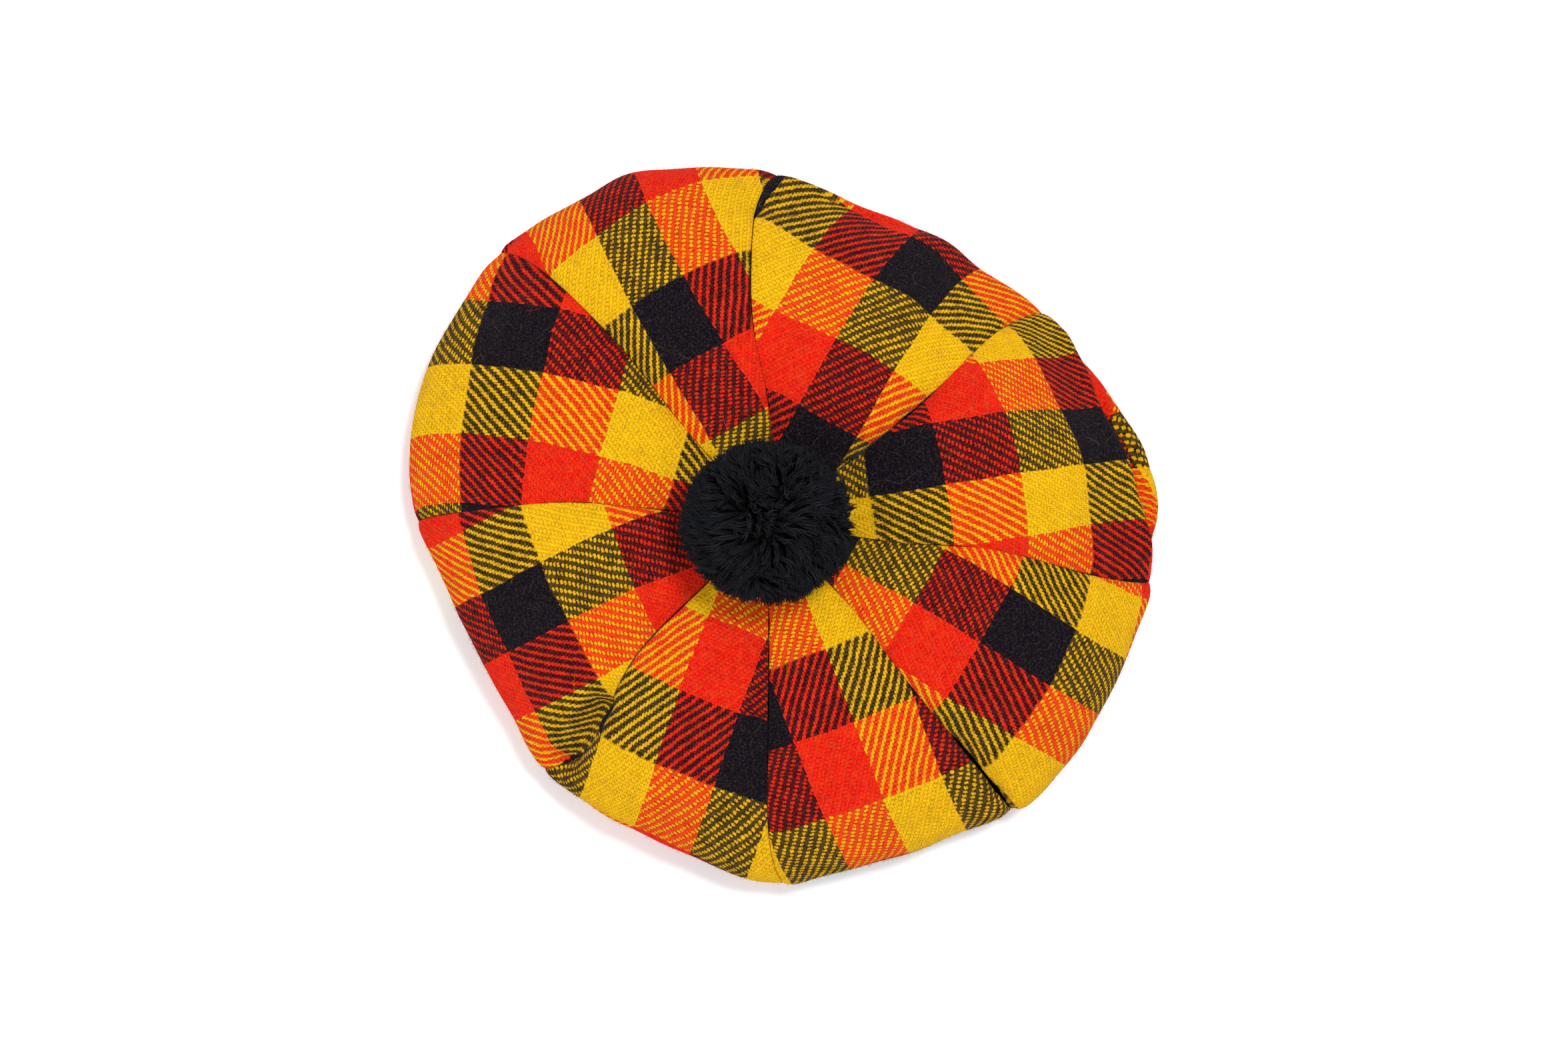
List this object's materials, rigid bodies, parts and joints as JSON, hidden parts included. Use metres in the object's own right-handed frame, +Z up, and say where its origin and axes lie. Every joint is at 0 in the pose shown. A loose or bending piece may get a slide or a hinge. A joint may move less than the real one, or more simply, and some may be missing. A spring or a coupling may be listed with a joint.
{
  "type": "tam o'shanter",
  "caption": "Tam o'shanter of checked brushed wool: puffed crown of gores over a plain headband, with a dark yarn pompom; a soft round hat.",
  "frame": {"origin": "on the table that the hat stands on, in the middle of its outline and of its head opening", "axes": "+Z up through the pompom, +Y towards the top of the picture, +X towards its right"},
  "size_m": [0.2706, 0.2583, 0.1028],
  "materials": {
    "check_wool": "brushed wool twill in a yellow, navy and red check",
    "band_wool": "the same check wool, doubled",
    "pompom_yarn": "cut wool yarn, blue-black"
  },
  "bodies": {
    "root": {"gore_1": "check_wool", "gore_2": "check_wool", "gore_3": "check_wool", "gore_4": "check_wool", "gore_5": "check_wool", "gore_6": "check_wool", "gore_7": "check_wool", "gore_8": "check_wool", "headband": "band_wool", "pompom": "pompom_yarn"}
  },
  "joints": []
}
